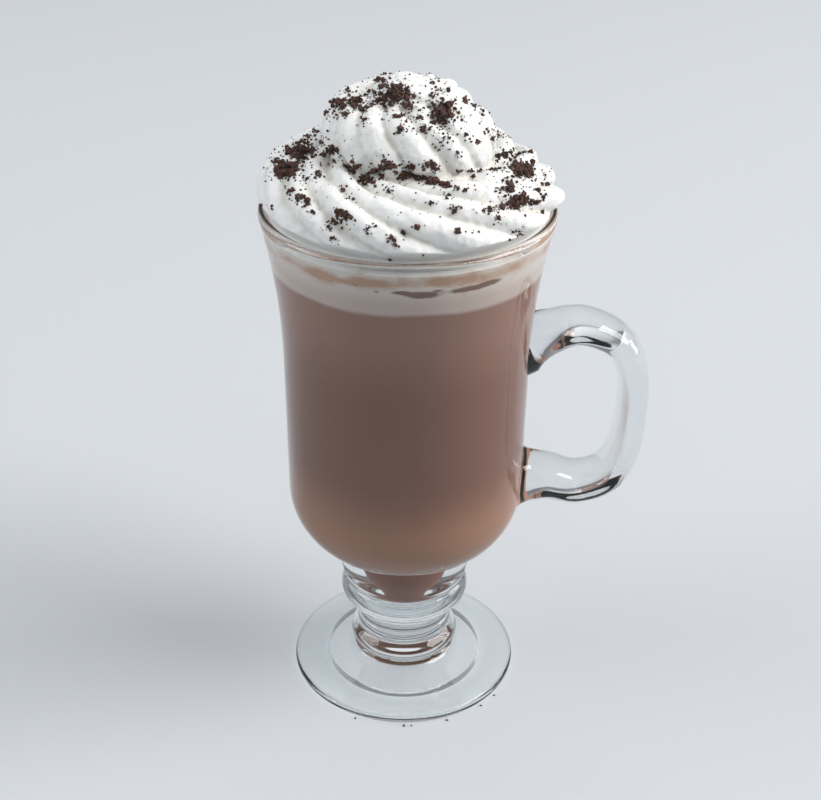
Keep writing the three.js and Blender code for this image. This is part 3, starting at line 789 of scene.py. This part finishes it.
def scatter(name, corners, faces, rough, draws):
    """Joins all crumbs of one kind; each draw gives where one lies, its size and its lift."""
    points, polygons = [], []
    for (spot, normal), size, lifted in draws:
        if spot is None:
            continue
        centre = np.array(spot) / MM + np.array(normal) * size * CRUMB_LIFT + np.array((0, 0, lifted))
        polygons.append(faces + len(points) * len(corners))
        points.append(crumb_corners(corners, size, rough) + centre)
    mesh = bpy.data.meshes.new(name)
    mesh.from_pydata(np.concatenate(points) * MM, [], np.concatenate(polygons).tolist())
    piece = bpy.data.objects.new(name, mesh)
    bpy.context.scene.collection.objects.link(piece)
    return piece


def coarse_size():
    """A coarse crumb's size, most of them small."""
    return float(np.clip(dice.lognormal(-1.12, 0.38), 0.16, 0.9))


def fine_size():
    return float(np.clip(dice.lognormal(-1.6, 0.35), 0.1, 0.38))


coarse_draws, fine_draws = [], []
for across, down, half_width, half_height, coarse, few in PINCHES:
    for _ in range(coarse):
        u, v = dice.normal(size=2) * COARSE_SPREAD
        pile = PILE_HEIGHT * math.exp(-(u * u + v * v) * 3) * min(1, coarse / BIG_PINCH) * dice.uniform()
        spot = seen_at(across + u * half_width, down + v * half_height)
        coarse_draws.append((spot, coarse_size(), pile))
    for _ in range(few):
        u, v = dice.normal(size=2) * FINE_SPREAD
        spot = seen_at(across + u * half_width, down + v * half_height)
        fine_draws.append((spot, fine_size(), 0))
for x, y, spread, coarse, few in FAR_PINCHES:
    for k in range(coarse + few):
        u, v = dice.normal(size=2) * spread * (0.5 if k < coarse else 0.9)
        if k < coarse:
            coarse_draws.append((dropped(x + u, y + v), coarse_size(), 0))
        else:
            fine_draws.append((dropped(x + u, y + v), fine_size(), 0))
for _ in range(DUST_BITS):
    away = DUST_REACH * math.sqrt(dice.uniform())
    angle = dice.uniform(0, 2 * math.pi)
    spot = dropped(away * math.cos(angle), away * math.sin(angle))
    fine_draws.append((spot, fine_size() * 0.8, 0))
for x, size in FALLEN:
    spot = Vector((AXIS_X + x, -math.sqrt(FALLEN_AWAY ** 2 - x * x), size * 0.3)) * MM
    coarse_draws.append(((spot, Vector((0, 0, 1))), size, 0))

coarse_corners, coarse_faces = lump_shape(2)
fine_corners, fine_faces = lump_shape(1)
coarse_crumbs = scatter("coarse_crumbs", coarse_corners, coarse_faces, COARSE_ROUGHNESS, coarse_draws)
fine_crumbs = scatter("fine_crumbs", fine_corners, fine_faces, FINE_ROUGHNESS, fine_draws)

cookie, tree, shader = new_material("dark_cookie")
where = add_node(tree, "ShaderNodeTexCoord")
bits = add_node(tree, "ShaderNodeTexNoise", {
    "Vector": where.outputs["Object"], "Scale": 700.0, "Detail": 2.0, "Roughness": 0.6,
})
tones = add_node(tree, "ShaderNodeValToRGB", {0: bits.outputs["Fac"]})
tones.color_ramp.elements[0].position = 0.35
tones.color_ramp.elements[0].color = (0.016, 0.0075, 0.005, 1)
tones.color_ramp.elements[1].position = 0.7
tones.color_ramp.elements[1].color = (0.10, 0.04, 0.023, 1)
tree.links.new(tones.outputs["Color"], shader.inputs["Base Color"])
shader.inputs["Roughness"].default_value = 0.8
for crumbs in (coarse_crumbs, fine_crumbs):
    crumbs.data.materials.append(cookie)
    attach(crumbs, "root")


# The studio is a pale flat sweep with big soft lights: a strong one at the right, a weaker one at
# the left and a low one at the right, a little behind. The room is bright above and dark at eye
# level, which draws the dark lines in the clear glass.
bpy.ops.mesh.primitive_plane_add(size=6, location=(0, 0, 0))
floor = bpy.context.object
floor.name = "pale_sweep"
paper, tree, shader = new_material("pale_paper")
# Painted light: the paper is lighter round a spot behind and right of the mug, darker away from it.
where = add_node(tree, "ShaderNodeTexCoord")
from_painted_light_spot = add_node(tree, "ShaderNodeVectorMath", {
    0: where.outputs["Object"], 1: (0.06, 0.15, 0),
}, operation="DISTANCE")
painted_light_falloff = add_node(tree, "ShaderNodeMapRange", {
    "Value": from_painted_light_spot.outputs["Value"], "From Min": 0.1, "From Max": 0.7,
    "To Min": 1.0, "To Max": 0.0,
})
tone = add_node(tree, "ShaderNodeMix", {
    0: painted_light_falloff.outputs[0], 6: (0.46, 0.478, 0.497, 1), 7: (0.482, 0.50, 0.52, 1),
}, data_type="RGBA")
tree.links.new(tone.outputs[2], shader.inputs["Base Color"])
shader.inputs["Roughness"].default_value = 0.85
shader.inputs["Specular IOR Level"].default_value = 0.2
floor.data.materials.append(paper)

world = bpy.data.worlds.new("studio_room")
bpy.context.scene.world = world
world.use_nodes = True
tree = world.node_tree
where = add_node(tree, "ShaderNodeTexCoord")
axes = add_node(tree, "ShaderNodeSeparateXYZ", {0: where.outputs["Generated"]})
room = add_node(tree, "ShaderNodeValToRGB", {0: axes.outputs["Z"]})
room.color_ramp.elements[0].position = 0.12
room.color_ramp.elements[0].color = (0.17, 0.18, 0.195, 1)
room.color_ramp.elements[1].position = 1.0
room.color_ramp.elements[1].color = (1.0, 1.02, 1.04, 1)
room.color_ramp.elements.new(0.36).color = (0.33, 0.344, 0.36, 1)
room.color_ramp.elements.new(0.6).color = (0.61, 0.63, 0.65, 1)
tree.links.new(room.outputs["Color"], tree.nodes["Background"].inputs["Color"])
tree.nodes["Background"].inputs["Strength"].default_value = 1.0


def soft_light(name, place, aim, size, power, colour):
    """A big soft light, turned to face an aim, and not seen as a bright patch through glass."""
    bpy.ops.object.light_add(type="AREA", location=place)
    lamp = bpy.context.object
    lamp.name = name
    lamp.data.shape = "RECTANGLE"
    lamp.data.size, lamp.data.size_y = size
    lamp.data.energy = power
    lamp.data.color = colour
    lamp.visible_transmission = False
    lamp.rotation_euler = (Vector(aim) - Vector(place)).to_track_quat("-Z", "Y").to_euler()


soft_light("key_right", (2.65, -0.35, 2.3), (0, 0.1, 0.05), (2.3, 2.1), 120, (1, 0.985, 0.965))
soft_light("fill_left", (-2.3, -0.25, 1.3), (0, 0.1, 0.05), (1.6, 1.6), 30, (0.95, 0.97, 1))
soft_light("low_right", (2.6, 0.5, 0.6), (0, 0, 0.1), (1.2, 0.9), 20, (1, 0.97, 0.95))
bpy.context.scene.view_settings.view_transform = "Standard"
